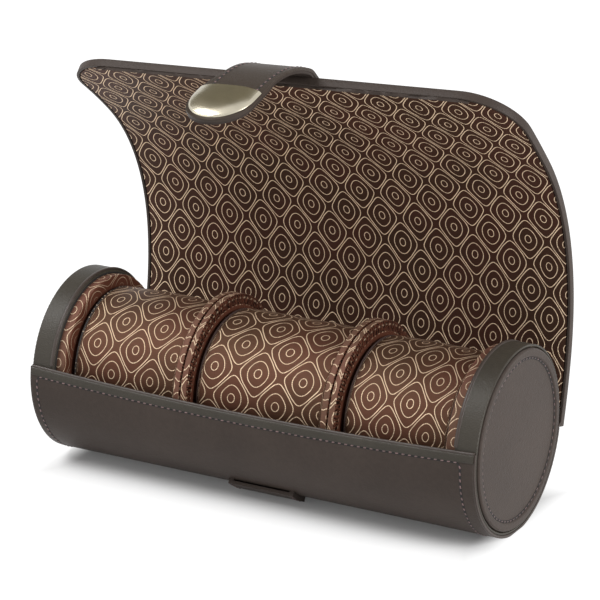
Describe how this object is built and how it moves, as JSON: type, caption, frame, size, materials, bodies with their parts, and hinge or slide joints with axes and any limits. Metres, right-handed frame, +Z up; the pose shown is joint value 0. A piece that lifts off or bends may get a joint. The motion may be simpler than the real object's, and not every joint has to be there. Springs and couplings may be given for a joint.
{
  "type": "watch travel case",
  "caption": "Leather covered watch roll shown open: a round barrel with lined bays and lift-out cushions, a tall flap that curls over it, and a strap with a metal plate.",
  "frame": {"origin": "on the table, under the middle of the barrel's axis", "axes": "+X along the barrel, to the right seen from the front; -Y towards the front, where the fixed lip and the keeper are; +Z up"},
  "size_m": [0.2424, 0.1481, 0.2164],
  "materials": {
    "leather_brown": "fine grained",
    "leather_backing": "smooth",
    "lining_chocolate": "satin with thin tan lines",
    "cushion_fabric": "satin with thin tan lines",
    "foam": "foam",
    "greyboard": "pressed board",
    "plate_metal": "polished pale gold"
  },
  "bodies": {
    "barrel": {"trough_leather": "leather_brown", "trough_board": "greyboard", "trough_lining": "lining_chocolate", "trough_pads": "foam", "spine_leather": "leather_brown", "spine_board": "greyboard", "left_end_core": "greyboard", "left_end_rim": "leather_brown", "left_end_disc": "leather_brown", "left_end_board": "lining_chocolate", "right_end_core": "greyboard", "right_end_rim": "leather_brown", "right_end_disc": "leather_brown", "right_end_board": "lining_chocolate", "divider_1_left": "lining_chocolate", "divider_1_right": "lining_chocolate", "divider_2_left": "lining_chocolate", "divider_2_right": "lining_chocolate", "keeper_loop": "leather_brown"},
    "flap_1": {"flap_leather_1": "leather_brown", "flap_board_1": "greyboard", "flap_lining_1": "lining_chocolate"},
    "flap_2": {"flap_leather_2": "leather_brown", "flap_board_2": "greyboard", "flap_lining_2": "lining_chocolate"},
    "flap_3": {"flap_leather_3": "leather_brown", "flap_board_3": "greyboard", "flap_lining_3": "lining_chocolate"},
    "flap_4": {"flap_leather_4": "leather_brown", "flap_board_4": "greyboard", "flap_lining_4": "lining_chocolate"},
    "flap_5": {"flap_leather_5": "leather_brown", "flap_board_5": "greyboard", "flap_lining_5": "lining_chocolate"},
    "flap_6": {"flap_leather_6": "leather_brown", "flap_board_6": "greyboard", "flap_lining_6": "lining_chocolate"},
    "flap_7": {"flap_leather_7": "leather_brown", "flap_board_7": "greyboard", "flap_lining_7": "lining_chocolate", "strap_root_leather": "leather_brown", "strap_root_backing": "leather_backing"},
    "strap": {"strap_tongue_leather": "leather_brown", "strap_tongue_backing": "leather_backing"},
    "strap_tip": {"strap_tip_leather": "leather_brown", "strap_tip_backing": "leather_backing", "strap_plate": "plate_metal"},
    "cushion_1": {"cushion_1_cover": "cushion_fabric", "cushion_1_core": "foam"},
    "cushion_2": {"cushion_2_cover": "cushion_fabric", "cushion_2_core": "foam"},
    "cushion_3": {"cushion_3_cover": "cushion_fabric", "cushion_3_core": "foam"}
  },
  "joints": [
    {"name": "flap_hinge", "type": "hinge", "parent": "barrel", "child": "flap_1", "pos_m": [0, 0.052, 0.0372], "axis": [-1, 0, 0], "range_deg": [-27.7, 8]},
    {"name": "flap_fold_2", "type": "hinge", "parent": "flap_1", "child": "flap_2", "pos_m": [0, 0.05746, 0.06465], "axis": [-1, 0, 0], "range_deg": [-14.25, 4.15]},
    {"name": "flap_fold_3", "type": "hinge", "parent": "flap_2", "child": "flap_3", "pos_m": [0, 0.05905, 0.09257], "axis": [-1, 0, 0], "range_deg": [-22.82, 6.63]},
    {"name": "flap_fold_4", "type": "hinge", "parent": "flap_3", "child": "flap_4", "pos_m": [0, 0.0548, 0.12018], "axis": [-1, 0, 0], "range_deg": [-19.88, 5.78]},
    {"name": "flap_fold_5", "type": "hinge", "parent": "flap_4", "child": "flap_5", "pos_m": [0, 0.04389, 0.14588], "axis": [-1, 0, 0], "range_deg": [-16.39, 4.77]},
    {"name": "flap_fold_6", "type": "hinge", "parent": "flap_5", "child": "flap_6", "pos_m": [0, 0.0266, 0.16781], "axis": [-1, 0, 0], "range_deg": [-24.45, 7.1]},
    {"name": "flap_fold_7", "type": "hinge", "parent": "flap_6", "child": "flap_7", "pos_m": [0, 0.0058, 0.18654], "axis": [-1, 0, 0], "range_deg": [-31.3, 9.08]},
    {"name": "strap_bend", "type": "hinge", "parent": "flap_7", "child": "strap", "pos_m": [0, -0.01108, 0.21065], "axis": [-1, 0, 0], "range_deg": [-2, 70]},
    {"name": "strap_tip_bend", "type": "hinge", "parent": "strap", "child": "strap_tip", "pos_m": [0, -0.06114, 0.21243], "axis": [-1, 0, 0], "range_deg": [-0.9, 28.1]},
    {"name": "cushion_1_lift", "type": "slide", "parent": "barrel", "child": "cushion_1", "axis": [0, 0, 1], "range_m": [0, 0.08]},
    {"name": "cushion_2_lift", "type": "slide", "parent": "barrel", "child": "cushion_2", "axis": [0, 0, 1], "range_m": [0, 0.08]},
    {"name": "cushion_3_lift", "type": "slide", "parent": "barrel", "child": "cushion_3", "axis": [0, 0, 1], "range_m": [0, 0.08]}
  ],
  "couplings": [
    {"joint": "flap_fold_2", "follows": "flap_hinge", "ratio": 0.5126},
    {"joint": "flap_fold_3", "follows": "flap_hinge", "ratio": 0.822},
    {"joint": "flap_fold_4", "follows": "flap_hinge", "ratio": 0.7159},
    {"joint": "flap_fold_5", "follows": "flap_hinge", "ratio": 0.5899},
    {"joint": "flap_fold_6", "follows": "flap_hinge", "ratio": 0.8809},
    {"joint": "flap_fold_7", "follows": "flap_hinge", "ratio": 1.1282},
    {"joint": "strap_tip_bend", "follows": "strap_bend", "ratio": 0.4}
  ]
}
